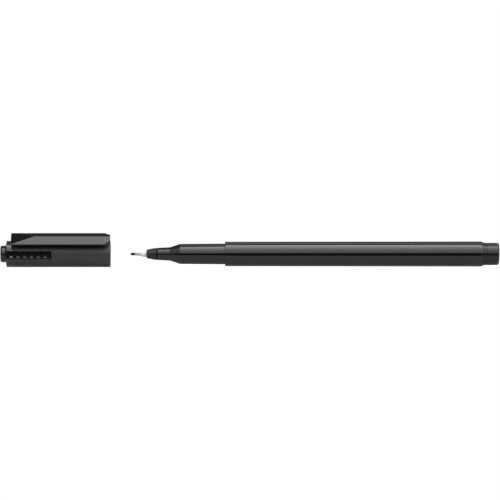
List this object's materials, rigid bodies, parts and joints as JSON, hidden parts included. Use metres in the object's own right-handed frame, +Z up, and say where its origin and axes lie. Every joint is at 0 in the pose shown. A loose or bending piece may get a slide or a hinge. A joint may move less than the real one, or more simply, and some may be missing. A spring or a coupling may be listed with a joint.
{
  "type": "permanent marker",
  "caption": "Slim round permanent marker with a tapered fibre nib, a pull-off cap with a pocket clip, and a plugged rear end.",
  "frame": {"origin": "on the surface that the marker lies on, under the middle of its outline with the cap pulled off", "axes": "+X along the marker from the cap's closed end to the end plug, +Z up, -Y towards the side that the clip leans to"},
  "size_m": [0.1806, 0.0114, 0.0121],
  "materials": {
    "barrel": "polished black moulding",
    "nib_holder": "satin black moulding",
    "nib": "pressed fibre, inked black at the tip",
    "reservoir_core": "ink-soaked fibre",
    "reservoir_film": "thin film",
    "end_plug": "semi-gloss black moulding",
    "cap_shell": "satin black moulding",
    "inner_cap": "semi-gloss black moulding",
    "pocket_clip": "satin black moulding"
  },
  "bodies": {
    "pen": {"barrel": "barrel", "nib_holder": "nib_holder", "nib": "nib", "reservoir_core": "reservoir_core", "reservoir_film": "reservoir_film", "end_plug": "end_plug"},
    "cap": {"cap_shell": "cap_shell", "inner_cap": "inner_cap"},
    "clip": {"pocket_clip": "pocket_clip"}
  },
  "joints": [
    {"name": "cap_slide", "type": "slide", "parent": "pen", "child": "cap", "axis": [1, 0, 0], "range_m": [0, 0.0412]},
    {"name": "clip_flex", "type": "hinge", "parent": "cap", "child": "clip", "pos_m": [-0.08592, -0.00178, 0.00858], "axis": [0, -0.809, -0.5878], "range_deg": [0, 4], "stiffness_Nm_per_rad": 2}
  ]
}
